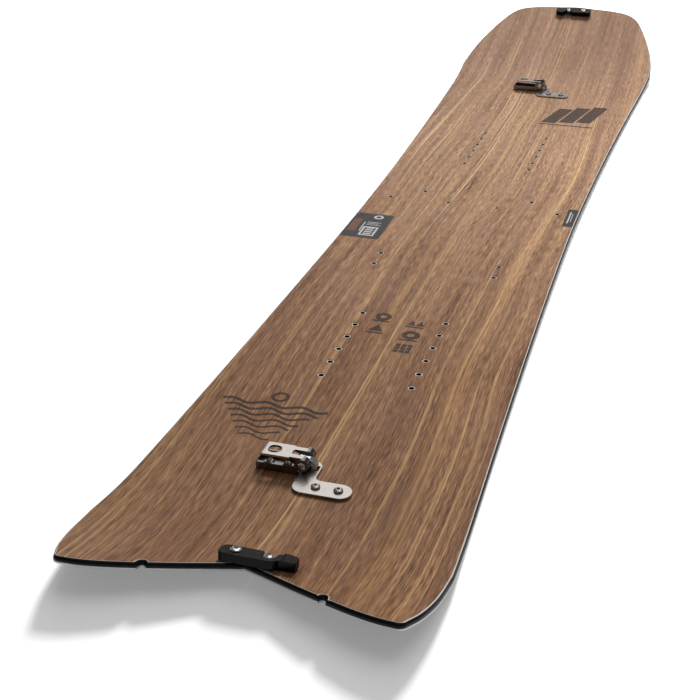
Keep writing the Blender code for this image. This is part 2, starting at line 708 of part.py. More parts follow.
def main():
    clear_scene()
    mats = {
        "veneer": principled("walnut_veneer", (0.27, 0.145, 0.075), 0.42, 0.0),
        "core": principled("poplar_core", (0.62, 0.45, 0.26), 0.7, 0.0),
        "base": principled("black_base", (0.02, 0.02, 0.022), 0.35, 0.0),
        "sidewall": principled("black_sidewall", (0.025, 0.025, 0.027), 0.5, 0.0),
        "steel": principled("edge_steel", (0.52, 0.53, 0.55), 0.3, 1.0),
        "insert": principled("insert_steel", (0.6, 0.6, 0.6), 0.3, 1.0),
        "stainless": principled("brushed_stainless", (0.66, 0.63, 0.62), 0.32, 1.0),
        "pin": principled("bright_pin", (0.75, 0.75, 0.75), 0.2, 1.0),
        "screw": principled("polished_screw", (0.72, 0.72, 0.73), 0.15, 1.0),
        "washer": principled("dark_washer", (0.05, 0.05, 0.052), 0.4, 0.6),
        "black": principled("black_anodised", (0.018, 0.018, 0.02), 0.38, 0.3),
    }
    build_half(-1, "left", mats)
    build_half(1, "right", mats)
    build_clip("rear", REAR_CLIP_Y, mats)
    build_clip("front", FRONT_CLIP_Y, mats)
    build_end_hook("tail", TAIL_HOOK_Y, TAIL_PIVOT_X, 0.0, mats)
    build_end_hook("nose", NOSE_HOOK_Y, NOSE_PIVOT_X, math.pi, mats)


main()
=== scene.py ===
"""Looks of the splitboard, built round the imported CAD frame.

Metres, in the board's frame: X across with the right half positive, Y towards the nose,
Z up, and the floor at z = 0. A piece of the board is first made flat, with z counted from
the top face or from the base, and then laid on the profile read from the CAD layers.
"""

import math

import bmesh
import bpy
import numpy as np
from mathutils import Matrix, Vector
from mathutils.bvhtree import BVHTree


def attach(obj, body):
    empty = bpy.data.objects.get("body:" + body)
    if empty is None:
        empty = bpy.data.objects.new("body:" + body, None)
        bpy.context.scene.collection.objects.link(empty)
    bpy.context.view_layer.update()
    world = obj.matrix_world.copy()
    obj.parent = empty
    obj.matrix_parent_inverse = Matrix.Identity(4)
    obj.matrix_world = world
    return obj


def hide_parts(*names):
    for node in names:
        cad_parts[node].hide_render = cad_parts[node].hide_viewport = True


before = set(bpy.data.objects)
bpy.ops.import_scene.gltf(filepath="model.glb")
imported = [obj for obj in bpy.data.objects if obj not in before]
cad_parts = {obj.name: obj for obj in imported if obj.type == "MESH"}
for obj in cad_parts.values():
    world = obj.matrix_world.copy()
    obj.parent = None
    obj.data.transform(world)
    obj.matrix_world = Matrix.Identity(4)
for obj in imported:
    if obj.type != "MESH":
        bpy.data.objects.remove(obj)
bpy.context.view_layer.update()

MM = 0.001
SIDES = (("left", -1), ("right", 1))

# ---- outline, as in the CAD -----------------------------------------------
SEAM_HALF = 0.15 * MM
HALF_LENGTH = 0.780
WAIST_HALF = 0.1215
NOSE_HALF = 0.1435
TAIL_HALF = 0.1360
WAIST_Y = -0.060
WIDE_NOSE_Y = 0.575
WIDE_TAIL_Y = -0.700
SIDECUT_POWER = 1.6
TAIL_CORNER = (0.1166, -0.7736)
TAIL_CORNER_R = 6.4 * MM
TAIL_SLOPE = 0.43           # how far the tail's end drops for each step outwards
NOTCH_X = 0.0635
NOTCH_HALF = 3.0 * MM
NOTCH_DEEP = 5.0 * MM
WALL_TAIL_Y = -0.632
WALL_NOSE_Y = 0.492

# ---- section --------------------------------------------------------------
SHEET_T = 0.9 * MM
BASE_T = 1.5 * MM
EDGE_W = 2.1 * MM
EDGE_T = 1.6 * MM
WALL_W = 4.0 * MM
GAP = 0.3 * MM
BEVEL_OUT = 0.9 * MM
BEVEL_IN = 2.1 * MM
# width of the pale line on the deck's bevel: the cut laminate, widened as a painted highlight
# where the bevel catches the light, along the sides and most on the right half
HIGHLIGHT_LINE_SIDE = {1: 0.80 * MM, -1: 0.45 * MM}
LINE_END = 0.30 * MM
SEAM_BEVEL = 0.60 * MM
SEAM_DROP = 0.30 * MM
STATION_STEP = 0.012        # facets of the laid pieces along the board
PROBE_X = -0.052            # a line on the left half that no hole or fitting crosses
PROBE_RANGE = (-0.757, 0.7715)  # the stretch of that line that both probed layers cover
PROBE_STEP = 0.002
SMOOTH_STEPS = 4.5          # spread of the smoothing, in probe steps
SOLE_LEVEL = -0.1           # flat z of the sole, in a piece that is yet to be laid
SPLIT_LEVEL = -0.05         # flat z above it hangs from the deck, below it from the sole
THROUGH = 0.02              # half height of a cutter that goes right through

# ---- inserts --------------------------------------------------------------
ROW_X = 0.0407
PITCH = 0.0254
REAR_FIRST_Y = -0.450
FRONT_FIRST_Y = 0.1215
ROW_COUNT = 6
TOUR_HOLES = ((0.0976, -0.018), (0.0631, 0.011), (0.0286, -0.018))
HEEL_HOLES = ((0.0631, -0.2080), (0.0631, -0.1805))
COLLAR_R = 3.3 * MM
BORE_R = 2.4 * MM

# ---- clips and hooks ------------------------------------------------------
CLIPS = (("rear", -0.596), ("front", 0.472))
TAIL_HOOK_Y = -0.7345
NOSE_HOOK_Y = 0.7555
TAIL_PIVOT_X = -0.0080
NOSE_PIVOT_X = 0.0145
HOOK_REACH = 23.8
PIVOT = (-5.0, 9.0)
LINK = (-8.95, 9.63)
SCREW_X = (11.0, 29.0)
SCREW_Y = -25.0
BASE_SCREW_X = (-34.0, -20.0)


# ---------------------------------------------------------------------------
# Profile of the board, read from the frame
# ---------------------------------------------------------------------------
def read_profile(node, direction):
    """Heights of a CAD layer along the board, with its facets smoothed."""
    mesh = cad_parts[node].data
    tree = BVHTree.FromPolygons([v.co for v in mesh.vertices],
                                [p.vertices for p in mesh.polygons])
    ys, zs = [], []
    for y in np.arange(*PROBE_RANGE, PROBE_STEP):
        hit = tree.ray_cast(Vector((PROBE_X, y, -direction)), Vector((0, 0, direction)))
        if hit[0] is not None:
            ys.append(y)
            zs.append(hit[0].z)
    ys, zs = np.array(ys), np.array(zs)
    fine = np.arange(-0.820, 0.8201, PROBE_STEP)
    low = zs[0] + (zs[1] - zs[0]) / (ys[1] - ys[0]) * (fine - ys[0])
    high = zs[-1] + (zs[-1] - zs[-2]) / (ys[-1] - ys[-2]) * (fine - ys[-1])
    z = np.where(fine < ys[0], low, np.where(fine > ys[-1], high, np.interp(fine, ys, zs)))
    reach = np.arange(-15, 16)
    kernel = np.exp(-(reach / SMOOTH_STEPS) ** 2 / 2)
    smooth = np.convolve(z, kernel / kernel.sum(), "same")
    inner = slice(len(reach) // 2 + 1, -len(reach) // 2)
    return fine[inner], smooth[inner]


DECK = read_profile("left_topsheet", -1)
SOLE = read_profile("left_base_sheet", 1)


def deck_z(y):
    return float(np.interp(y, *DECK))


def sole_z(y):
    return float(np.interp(y, *SOLE))


def deck_slope(y):
    return (deck_z(y + 0.006) - deck_z(y - 0.006)) / 0.012


# ---------------------------------------------------------------------------
# Outline
# ---------------------------------------------------------------------------
def half_width(y):
    if y >= WAIST_Y:
        u, wide = (y - WAIST_Y) / (WIDE_NOSE_Y - WAIST_Y), NOSE_HALF
    else:
        u, wide = (WAIST_Y - y) / (WAIST_Y - WIDE_TAIL_Y), TAIL_HALF
    return WAIST_HALF + (wide - WAIST_HALF) * u ** SIDECUT_POWER


def catmull(points, steps):
    """Catmull-Rom curve through points, without its first point."""
    pts = [Vector(p) for p in points]
    pts = [2 * pts[0] - pts[1]] + pts + [2 * pts[-1] - pts[-2]]
    out = []
    for p0, p1, p2, p3 in zip(pts, pts[1:], pts[2:], pts[3:]):
        for i in range(steps):
            t = i / steps
            b, c = (p2 - p0) * t, (2 * p0 - 5 * p1 + 4 * p2 - p3) * t * t
            out.append((2 * p1 + b + c + (3 * p1 - p0 - 3 * p2 + p3) * t ** 3) / 2)
    return out + [pts[-2]]


def arc(cx, cy, r, a0, a1, steps):
    """Points on an arc from a0 to a1 degrees."""
    angles = [math.radians(a0 + (a1 - a0) * i / steps) for i in range(steps + 1)]
    return [(cx + r * math.cos(a), cy + r * math.sin(a)) for a in angles]


def outline(mouth=NOTCH_HALF):
    """Outline of the right half, anticlockwise from the seam's tail end: tail, side, nose.

    Inner layers take a wider notch mouth, so that their offsets stay free of folds.
    """
    n, h, d = NOTCH_X, mouth, NOTCH_DEEP
    tail = catmull([(SEAM_HALF, -0.7375), (0.020, -0.7462), (0.040, -0.7553),
                    (n - h, -0.7653 + TAIL_SLOPE * h)], 5)
    tail += [Vector((n + k * h, -0.7658 + d * (1 - abs(k) ** 2.4 * 0.6)))
             for k in (-0.8, -0.55, 0, 0.55, 0.8)]
    corner = [Vector(p) for p in arc(*TAIL_CORNER, TAIL_CORNER_R, -94, -20, 9)]
    tail += catmull([(n + h, -0.7656 - 0.40 * h), (0.085, -0.7738), (0.102, -0.7785),
                     tuple(corner[0])], 5)
    tail += corner[1:-1]
    tail += catmull([tuple(corner[-1]), (0.1290, -0.7590), (0.1337, -0.7340),
                     (TAIL_HALF, WIDE_TAIL_Y)], 6)
    tail += [Vector((half_width(y), y)) for y in (-0.680, -0.660, -0.645)]
    ys = np.linspace(WALL_TAIL_Y, WALL_NOSE_Y, 76)
    side = [Vector((half_width(y), y)) for y in ys]
    nose = [Vector((half_width(y), y)) for y in (0.505, 0.520, 0.540, 0.560)]
    nose += catmull([(NOSE_HALF, WIDE_NOSE_Y), (0.1400, 0.6200), (0.1318, 0.6650),
                     (0.1175, 0.7140), (0.1035, 0.7475), (0.0860, 0.7660),
                     (0.0560, 0.7745), (SEAM_HALF, HALF_LENGTH)], 7)
    return tail, side, nose


TAIL_RUN, SIDE_RUN, NOSE_RUN = outline()
LOOP = TAIL_RUN + SIDE_RUN + NOSE_RUN
WIDE_LOOP = sum(outline(2.5 * NOTCH_HALF), [])
FIRST_SIDE = len(TAIL_RUN)
LAST_SIDE = len(TAIL_RUN) + len(SIDE_RUN) - 1


def inset(loop, dist, seam=None):
    """Offset a closed anticlockwise loop inwards, its last edge (the seam) by its own amount."""
    out, count = [], len(loop)
    for i in range(count):
        a = (loop[i] - loop[i - 1]).normalized()
        b = (loop[(i + 1) % count] - loop[i]).normalized()
        na, nb = Vector((-a.y, a.x)), Vector((-b.y, b.x))
        if seam is not None and i in (0, count - 1):
            da, db = (seam, dist) if i == 0 else (dist, seam)
            cross = na.x * nb.y - na.y * nb.x
            out.append(loop[i] + Vector((da * nb.y - db * na.y, db * na.x - da * nb.x)) / cross)
        else:
            out.append(loop[i] + (na + nb) * (dist / (1 + na.dot(nb))))
    return out


# ---------------------------------------------------------------------------
# Materials
# ---------------------------------------------------------------------------
class Graph:
    """Short ways to add nodes to a material's tree."""

    def __init__(self, name):
        self.material = bpy.data.materials.new(name)
        self.material.use_nodes = True
        self.tree = self.material.node_tree
        self.shader = self.tree.nodes["Principled BSDF"]
        coords = self.tree.nodes.new("ShaderNodeTexCoord")
        self.point = coords.outputs["Object"]

    def add(self, kind, inputs, **settings):
        node = self.tree.nodes.new(kind)
        for key, value in settings.items():
            setattr(node, key, value)
        for key, value in inputs.items():
            socket = node.inputs[key]
            if isinstance(value, bpy.types.NodeSocket):
                self.tree.links.new(value, socket)
            else:
                socket.default_value = value
        return node

    def math(self, operation, a, b=0.0):
        return self.add("ShaderNodeMath", {0: a, 1: b}, operation=operation).outputs[0]

    def span(self, value, low, high, out_low=0.0, out_high=1.0):
        """Map a value from one range to another, clamped."""
        return self.add("ShaderNodeMapRange", {0: value, 1: low, 2: high, 3: out_low,
                                               4: out_high}).outputs[0]

    def stretched(self, scale, offset=(0, 0, 0), point=None):
        """The piece's own coordinates, scaled apart along each axis."""
        return self.add("ShaderNodeMapping", {"Vector": point or self.point,
                                              "Location": offset, "Scale": scale}).outputs[0]

    def noise(self, vector, detail=2.0, roughness=0.5):
        return self.add("ShaderNodeTexNoise", {"Vector": vector, "Scale": 1.0,
                                               "Detail": detail,
                                               "Roughness": roughness}).outputs[0]

    def grey(self, value):
        return self.add("ShaderNodeCombineXYZ", {0: value, 1: value, 2: value}).outputs[0]

    def ramp(self, value, stops):
        node = self.add("ShaderNodeValToRGB", {0: value})
        elements = node.color_ramp.elements
        while len(elements) < len(stops):
            elements.new(0.5)
        for element, (at, colour) in zip(elements, stops):
            element.position = at
            element.color = (*colour, 1.0)
        return node.outputs[0]

    def mix(self, factor, a, b, blend="MIX"):
        node = self.add("ShaderNodeMix", {0: factor}, data_type="RGBA", blend_type=blend)
        for socket, value in ((node.inputs[6], a), (node.inputs[7], b)):
            if isinstance(value, bpy.types.NodeSocket):
                self.tree.links.new(value, socket)
            else:
                socket.default_value = (*value, 1.0)
        return node.outputs[2]

    def finish(self, colour=None, roughness=None, height=None, depth=0.0, **constants):
        for key, value in (("Base Color", colour), ("Roughness", roughness)):
            if isinstance(value, bpy.types.NodeSocket):
                self.tree.links.new(value, self.shader.inputs[key])
            elif value is not None:
                self.shader.inputs[key].default_value = (
                    (*value, 1.0) if key == "Base Color" else value)
        if height is not None:
            bump = self.add("ShaderNodeBump", {"Height": height, "Strength": 1.0,
                                               "Distance": depth})
            self.tree.links.new(bump.outputs[0], self.shader.inputs["Normal"])
        for key, value in constants.items():
            self.shader.inputs[key.replace("_", " ")].default_value = value
        return self.material


def veneer_colour(g):
    """Walnut-like figure that runs along the board. Returns its colour, relief and tone.

    Light and shade are painted into its colour, falling off along the board and across it, in
    shade and side, and a painted sheen pales it towards the nose."""
    drift = g.noise(g.stretched((3.6, 1.5, 0)), 2.0)
    shift = g.math("MULTIPLY", g.math("SUBTRACT", drift, 0.5), 0.055)
    split = g.add("ShaderNodeSeparateXYZ", {0: g.point})
    across = g.math("ADD", split.outputs[0], shift)
    grain = g.add("ShaderNodeCombineXYZ", {0: across, 1: split.outputs[1]}).outputs[0]

    # wide zones down to pores, all drawn out along the grain
    zone = g.noise(g.stretched((26, 1.1, 1), (3.1, 0.4, 0), grain), 2.0, 0.5)
    band = g.noise(g.stretched((78, 1.0, 1), (7.7, 0, 2), grain), 2.0, 0.5)
    streak = g.noise(g.stretched((230, 2.2, 1), (1.9, 0, 4), grain), 2.0, 0.6)
    fibre = g.noise(g.stretched((560, 9, 1), (1.3, 0, 5), grain), 2.0, 0.6)
    dash = g.noise(g.stretched((1250, 62, 1), (0, 0, 9), grain), 1.0, 0.5)
    line = g.noise(g.stretched((52, 0.42, 1), (11.9, 0.8, 14), grain), 1.0, 0.5)
    thread = g.noise(g.stretched((400, 1.3, 1), (2.6, 0.1, 17), grain), 1.0, 0.5)
    mottle = g.noise(g.stretched((50, 9, 1), (0, 0, 21), grain), 2.0, 0.5)

    tone = g.math("MULTIPLY", zone, 0.26)
    for part, weight in ((band, 0.36), (streak, 0.42), (fibre, 0.62), (dash, 0.88),
                         (mottle, 0.14)):
        tone = g.math("ADD", tone, g.math("MULTIPLY", part, weight))
    tone = g.span(tone, 1.04, 1.60)
    colour = g.ramp(tone, ((0.00, (0.094, 0.039, 0.016)), (0.28, (0.166, 0.075, 0.033)),
                           (0.50, (0.247, 0.120, 0.053)), (0.74, (0.351, 0.187, 0.086)),
                           (1.00, (0.520, 0.312, 0.156))))
    # reddish patches, light lines, bright threads and dark pores over the base tone
    colour = g.mix(g.span(mottle, 0.46, 0.70, 0.0, 0.45), colour, (0.240, 0.127, 0.080))
    lit = g.math("MULTIPLY", g.span(line, 0.58, 0.74), g.span(fibre, 0.36, 0.62, 0.35, 1.0))
    colour = g.mix(g.math("MULTIPLY", lit, 0.42), colour, (0.600, 0.350, 0.130))
    bright = g.math("MULTIPLY", g.span(thread, 0.59, 0.71), g.span(band, 0.40, 0.56))
    colour = g.mix(g.math("MULTIPLY", bright, 0.60), colour, (0.780, 0.520, 0.240))
    dark = g.math("MULTIPLY", g.span(dash, 0.36, 0.22), 0.55)
    colour = g.mix(dark, colour, (0.050, 0.023, 0.013))
    # painted light and shade along the board: darker towards the tail, brightest through the
    # middle, dimmer again at the nose
    length = g.span(split.outputs[1], -0.80, 0.80)
    shade = g.ramp(length, ((0.00, (0.47, 0.43, 0.40)), (0.24, (0.53, 0.475, 0.42)),
                            (0.47, (0.77, 0.79, 0.85)), (0.62, (0.81, 0.865, 0.97)),
                            (0.86, (0.63, 0.65, 0.69))))
    colour = g.mix(1.0, colour, shade, "MULTIPLY")
    # painted shade across the board: the left half darker than the right
    side = g.span(split.outputs[0], -0.14, 0.14, 0.90, 1.07)
    colour = g.mix(1.0, colour, g.grey(side), "MULTIPLY")
    # painted sheen: the wood paler and greyer towards the nose
    painted_sheen = g.span(split.outputs[1], -0.20, 0.75, 0.0, 0.22)
    colour = g.mix(painted_sheen, colour, (0.270, 0.170, 0.130))
    relief = g.math("SUBTRACT", g.math("MULTIPLY", fibre, 0.6), g.math("MULTIPLY", dark, 0.8))
    return colour, relief, tone


def make_veneer():
    g = Graph("walnut_veneer")
    colour, relief, tone = veneer_colour(g)
    roughness = g.span(tone, 0.0, 1.0, 0.52, 0.42)
    return g.finish(colour, roughness, relief, 0.00008, Specular_IOR_Level=0.24)


def make_ink(name, strength, tint):
    """Ink printed into the veneer, so that the grain still shows through it."""
    g = Graph(name)
    colour, relief, tone = veneer_colour(g)
    worn = g.noise(g.stretched((900, 160, 1)), 2.0, 0.6)
    cover = g.span(worn, 0.30, 0.62, strength - 0.10, strength + 0.04)
    colour = g.mix(cover, colour, tint)
    return g.finish(colour, 0.50, relief, 0.00008, Specular_IOR_Level=0.18)


def make_plain(name, colour, spread, roughness, grain=(300, 300, 300), bump=0.00004,
               **constants):
    """A base colour that varies a little, with fine relief: plastics, paint, laminate."""
    g = Graph(name)
    fine = g.noise(g.stretched(grain), 3.0, 0.6)
    broad = g.noise(g.stretched((14, 9, 14)), 2.0, 0.5)
    low = tuple(max(c * (1 - spread), 0.0) for c in colour)
    high = tuple(min(c * (1 + spread), 1.0) for c in colour)
    mixed = g.mix(g.math("MULTIPLY", g.math("ADD", fine, broad), 0.5), low, high)
    rough = g.span(fine, 0.3, 0.7, roughness - 0.05, roughness + 0.07)
    return g.finish(mixed, rough, fine, bump, **constants)


def make_metal(name, colour, roughness, brushed=(1400, 30, 1400), spread=0.10,
               bump=0.00002, **constants):
    """Metal with fine brush marks, faint stains, and duller patches from handling."""
    g = Graph(name)
    marks = g.noise(g.stretched(brushed), 3.0, 0.6)
    stain = g.noise(g.stretched((160, 160, 160), (4, 4, 4)), 3.0, 0.6)
    low = tuple(c * (1 - spread) for c in colour)
    high = tuple(min(c * (1 + spread), 1.0) for c in colour)
    mixed = g.mix(g.math("MULTIPLY", g.math("ADD", marks, stain), 0.5), low, high)
    rough = g.math("ADD", g.span(marks, 0.3, 0.7, roughness - 0.05, roughness + 0.06),
                   g.span(stain, 0.5, 0.8, 0.0, 0.10))
    return g.finish(mixed, rough, marks, bump, Metallic=1.0, **constants)


veneer = make_veneer()
ink = make_ink("printed_ink", 0.90, (0.016, 0.012, 0.010))
faint_ink = make_ink("faint_ink", 0.70, (0.040, 0.026, 0.018))
# pale cut laminate of the bevel, partly a painted highlight where its band is widened
cut_edge_and_highlight = make_plain("laminate_cut_and_highlight", (0.46, 0.43, 0.40), 0.20, 0.34, (500, 90, 500))
# pale seam bevel: the cut veneer, lightened as a painted highlight where the seam edges catch
# the light
seam_cut_and_highlight = make_plain("veneer_cut_and_highlight", (0.42, 0.28, 0.14), 0.25, 0.46, (700, 60, 700),
                      Specular_IOR_Level=0.3)
wall_black = make_plain("sidewall_black", (0.003, 0.003, 0.0035), 0.30, 0.34, (900, 120, 900),
                        Specular_IOR_Level=0.16)
base_black = make_plain("base_black", (0.014, 0.014, 0.016), 0.25, 0.34, (260, 2200, 260))
core_wood = make_plain("core_wood", (0.50, 0.34, 0.19), 0.20, 0.60, (400, 14, 400))
edge_steel = make_metal("edge_steel", (0.42, 0.42, 0.43), 0.34, (1500, 40, 1500))
insert_zinc = make_plain("insert_zinc", (0.60, 0.55, 0.48), 0.15, 0.40, (900, 900, 900),
                         Metallic=0.35)
stainless = make_metal("brushed_stainless", (0.50, 0.46, 0.43), 0.27, (60, 1700, 1700))
# darker polished steel; on the clip trays it is painted shade, the stainless darkened for their
# shadowed sides and dark reflections
dark_steel_and_shade = make_metal("dark_polished_and_shade", (0.20, 0.19, 0.185), 0.16, (500, 500, 500))
polished = make_metal("polished_steel", (0.74, 0.73, 0.72), 0.12, (500, 500, 500))
# black anodised hooks; inside the insert bores the same black is painted shade
black_alloy_and_shade = make_plain("black_anodised", (0.0012, 0.0012, 0.0014), 0.35, 0.28,
                         (700, 700, 700), 0.00003, Specular_IOR_Level=0.12)
label_dark = make_plain("label_dark", (0.020, 0.019, 0.020), 0.20, 0.40, (200, 200, 200), 0.0,
                        Specular_IOR_Level=0.18)
label_pale = make_plain("label_pale", (0.34, 0.33, 0.32), 0.10, 0.45, (200, 200, 200), 0.0,
                        Specular_IOR_Level=0.18)
label_brown = make_plain("label_brown", (0.100, 0.042, 0.026), 0.15, 0.45, (200, 30, 200), 0.0,
                         Specular_IOR_Level=0.18)


# ---------------------------------------------------------------------------
# Mesh helpers
# ---------------------------------------------------------------------------
def prism(loop, z0, z1):
    """Closed solid on a plan loop."""
    bm = bmesh.new()
    stack(bm, ((loop, z0), (loop, z1)))
    return bm


def stack(bm, rows):
    """Closed solid through matching loops, with flat ends. A row's z may differ from point
    to point. Returns the side faces, one list for each gap between rows."""
    rings = [[bm.verts.new((p[0], p[1], z[i] if isinstance(z, list) else z))
              for i, p in enumerate(loop)] for loop, z in rows]
    sides = []
    for a, b in zip(rings, rings[1:]):
        sides.append([bm.faces.new((a[i - 1], a[i], b[i], b[i - 1])) for i in range(len(a))])
    bm.faces.new(rings[0][::-1])
    bm.faces.new(rings[-1])
    return sides


def turned(profile, sides=40, axis="Z", offset=(0, 0, 0)):
    """Solid of revolution; profile is (radius, height), and radius 0 closes an end."""
    bm = bmesh.new()
    rows = []
    for r, h in profile:
        ring = []
        for i in range(1 if r == 0 else sides):
            a = 2 * math.pi * i / sides
            p = (r * math.cos(a), r * math.sin(a), h)
            p = (p[0], h, p[1]) if axis == "Y" else p
            ring.append(bm.verts.new(Vector(p) + Vector(offset)))
        rows.append(ring)
    for low, high in zip(rows, rows[1:]):
        for i in range(sides):
            j = (i + 1) % sides
            a = [low[i % len(low)], low[j % len(low)]]
            b = [high[j % len(high)], high[i % len(high)]]
            face = list(dict.fromkeys(a + b))
            if len(face) > 2:
                bm.faces.new(face)
    return bm


def extruded(loop, y0, y1):
    """Prism of an (x, z) outline between two y planes, all in millimetres."""
    bm = bmesh.new()
    near = [bm.verts.new((p[0] * MM, y0 * MM, p[1] * MM)) for p in loop]
    far = [bm.verts.new((p[0] * MM, y1 * MM, p[1] * MM)) for p in loop]
    bm.faces.new(near)
    bm.faces.new(far[::-1])
    for i in range(len(loop)):
        j = (i + 1) % len(loop)
        bm.faces.new((near[j], near[i], far[i], far[j]))
    return bm


def flat(loop, z0, z1):
    """Prism of a plan outline, all in millimetres."""
    return prism([(p[0] * MM, p[1] * MM) for p in loop], z0 * MM, z1 * MM)


def circle(cx, cy, r, sides=36):
    return arc(cx, cy, r, 0, 360, sides)[:-1]


def bar(x0, x1, y0, y1):
    return [(x0, y0), (x1, y0), (x1, y1), (x0, y1)]


def rounded_box(x0, x1, y0, y1, r, steps=6):
    """Plan outline of a rectangle with rounded corners."""
    return (arc(x1 - r, y0 + r, r, -90, 0, steps) + arc(x1 - r, y1 - r, r, 0, 90, steps)
            + arc(x0 + r, y1 - r, r, 90, 180, steps) + arc(x0 + r, y0 + r, r, 180, 270, steps))


def scratch_object(bm, materials=()):
    bmesh.ops.recalc_face_normals(bm, faces=bm.faces)
    mesh = bpy.data.meshes.new("scratch")
    bm.to_mesh(mesh)
    bm.free()
    for material in materials:
        mesh.materials.append(material)
    ob = bpy.data.objects.new("scratch", mesh)
    bpy.context.scene.collection.objects.link(ob)
    return ob


def carve(bm, *tools, materials=()):
    """Cut tools out of a solid; a tool may also be (solid, "INTERSECT")."""
    body = scratch_object(bm, materials)
    helpers = []
    for tool in tools:
        solid, operation = tool if isinstance(tool, tuple) else (tool, "DIFFERENCE")
        helper = scratch_object(solid)
        modifier = body.modifiers.new("carve", "BOOLEAN")
        modifier.operation, modifier.solver, modifier.object = operation, "EXACT", helper
        helpers.append(helper)
    shape = body.evaluated_get(bpy.context.evaluated_depsgraph_get()).to_mesh()
    out = bmesh.new()
    out.from_mesh(shape)
    for ob in [body] + helpers:
        bpy.data.objects.remove(ob, do_unlink=True)
    bmesh.ops.remove_doubles(out, verts=out.verts, dist=1e-6)
    return out


def soften(bm, width, angle=28, segments=2):
    """Round every edge sharper than angle, as tumbling or machining leaves it."""
    bmesh.ops.dissolve_limit(bm, angle_limit=math.radians(1.0), verts=bm.verts,
                             edges=bm.edges)
    sharp = [e for e in bm.edges if e.is_manifold
             and e.calc_face_angle(0.0) > math.radians(angle)]
    bmesh.ops.bevel(bm, geom=sharp, offset=width, segments=segments, profile=0.5,
                    affect="EDGES", clamp_overlap=True)
    return bm


def piece(name, bm, materials, body, stands_for=(), place=None, sharp=35,
          weighted=True):
    """Turn a bmesh into a named piece that rides on a body. Weighted normals keep wide
    faces flat beside their rounded edges."""
    bmesh.ops.recalc_face_normals(bm, faces=bm.faces)
    if place is not None:
        bm.transform(place)
    mesh = bpy.data.meshes.new(name)
    bm.to_mesh(mesh)
    bm.free()
    for material in materials if isinstance(materials, (list, tuple)) else [materials]:
        mesh.materials.append(material)
    mesh.shade_smooth()
    mesh.set_sharp_from_angle(angle=math.radians(sharp))
    ob = bpy.data.objects.new(name, mesh)
    bpy.context.scene.collection.objects.link(ob)
    if weighted:
        modifier = ob.modifiers.new("flat_faces", "WEIGHTED_NORMAL")
        modifier.keep_sharp = True
    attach(ob, body)
    if stands_for:
        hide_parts(*stands_for)
    return ob


def handed(bm, side):
    """Mirror a right-half solid for the left half."""
    if side < 0:
        bmesh.ops.scale(bm, vec=(-1, 1, 1), verts=bm.verts)
        bmesh.ops.reverse_faces(bm, faces=bm.faces)
    return bm


def stations():
    count = int(2 * HALF_LENGTH / STATION_STEP)
    return [HALF_LENGTH * (2 * (i + 0.5) / count - 1) for i in range(count)]


def lay(bm):
    """Cut a flat piece at the stations, then lay it on the board's deck or sole."""
    ys = [v.co.y for v in bm.verts]
    low, high = min(ys), max(ys)
    for y in stations():
        if low + 1e-4 < y < high - 1e-4:
            geom = bm.verts[:] + bm.edges[:] + bm.faces[:]
            bmesh.ops.bisect_plane(bm, geom=geom, plane_co=(0, y, 0), plane_no=(0, 1, 0),
                                   dist=1e-6)
    for v in bm.verts:
        if v.co.z > SPLIT_LEVEL:
            v.co.z += deck_z(v.co.y)
        else:
            v.co.z += sole_z(v.co.y) - SOLE_LEVEL
    return bm


# ---------------------------------------------------------------------------
# The two halves
# ---------------------------------------------------------------------------
def insert_groups():
    rear = [(ROW_X, REAR_FIRST_Y + PITCH * i) for i in range(ROW_COUNT)]
    front = [(ROW_X, FRONT_FIRST_Y + PITCH * i) for i in range(ROW_COUNT)]
    return (("rear", rear), ("front", front), ("touring", TOUR_HOLES), ("heel", HEEL_HOLES))


def screw_holes(side):
    """Plan centres and radii of one half's screw holes, x measured outwards."""
    holes = []
    for _, y in CLIPS:
        if side > 0:
            holes += [(x * MM, y + SCREW_Y * MM, 2.4 * MM) for x in SCREW_X]
        else:
            holes += [(-x * MM, y, 2.1 * MM) for x in BASE_SCREW_X]
    reach = HOOK_REACH * MM
    tail_x = TAIL_PIVOT_X if side < 0 else TAIL_PIVOT_X + reach
    nose_x = NOSE_PIVOT_X if side > 0 else NOSE_PIVOT_X - reach
    return holes + [(abs(tail_x), TAIL_HOOK_Y, 3.3 * MM), (abs(nose_x), NOSE_HOOK_Y, 3.3 * MM)]


